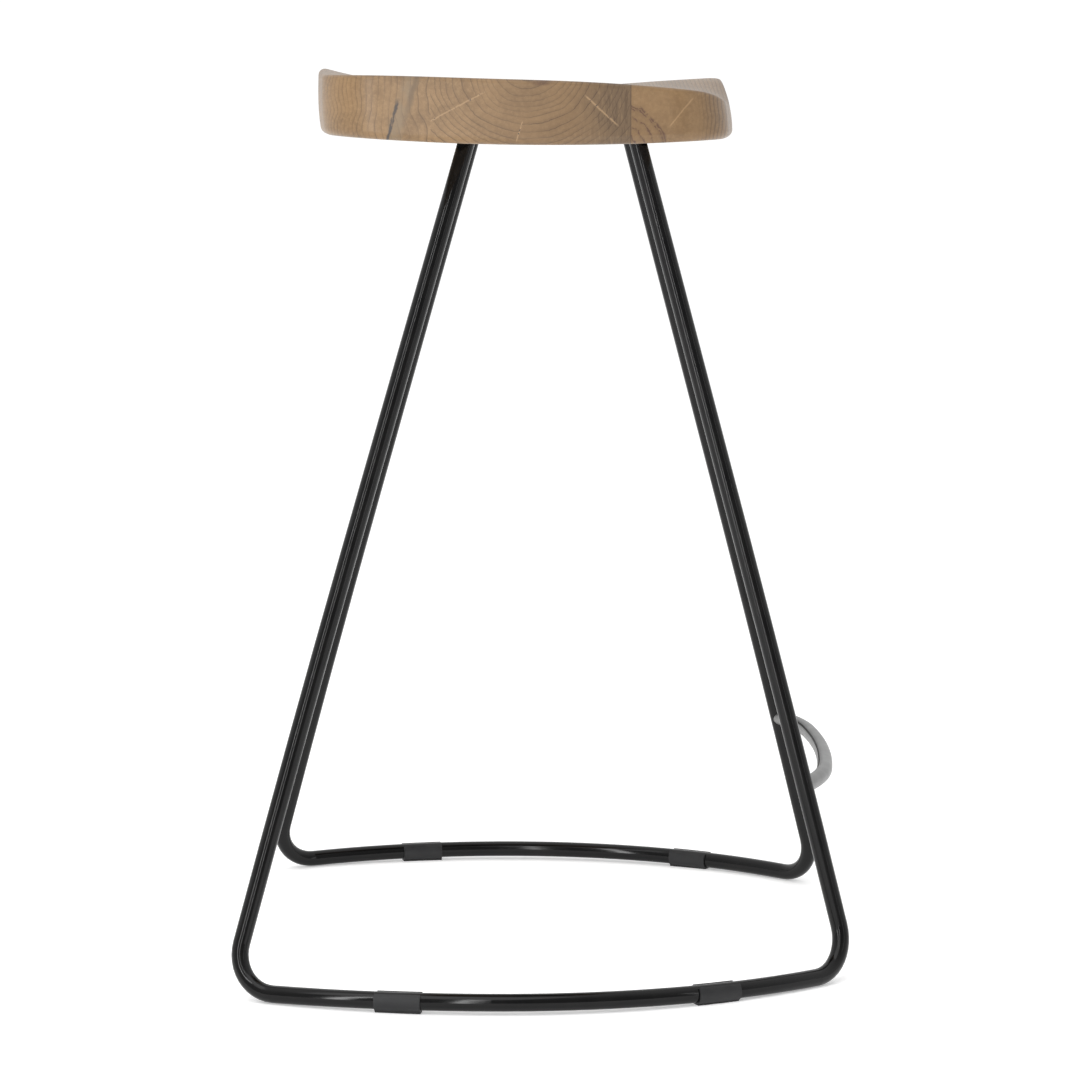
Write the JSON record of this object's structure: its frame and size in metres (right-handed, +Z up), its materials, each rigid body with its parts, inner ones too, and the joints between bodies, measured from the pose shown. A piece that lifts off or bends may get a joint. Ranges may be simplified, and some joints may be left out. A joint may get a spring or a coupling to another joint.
{
  "type": "bar stool",
  "caption": "Counter-height stool with a dished wooden seat, bent rod side frames, a curved footrest and clip-on floor glides.",
  "frame": {"origin": "on the floor, in the middle of the stool's footprint", "axes": "+X to the front of the stool (the footrest side), +Y to its left, +Z up"},
  "size_m": [0.4508, 0.5708, 0.6677],
  "materials": {
    "seat_wood": "oiled solid wood, end grain on the left and right sides",
    "black_powder_coat": "satin black powder coat on steel rod",
    "footrest_sheet": "brushed steel sheet rolled round a rod",
    "footrest_core_steel": "black coated steel core rod",
    "glide_plastic": "matte black moulded plastic",
    "zinc_screws": "zinc plated"
  },
  "bodies": {
    "root": {"seat_back_board": "seat_wood", "seat_middle_board": "seat_wood", "seat_front_board": "seat_wood", "seat_plate": "black_powder_coat", "seat_screws": "zinc_screws", "plate_welds": "black_powder_coat", "left_side_frame": "black_powder_coat", "right_side_frame": "black_powder_coat", "footrest_core": "footrest_core_steel", "footrest_sleeve": "footrest_sheet", "glide_back_left": "glide_plastic", "glide_front_left": "glide_plastic", "glide_back_right": "glide_plastic", "glide_front_right": "glide_plastic"}
  },
  "joints": []
}
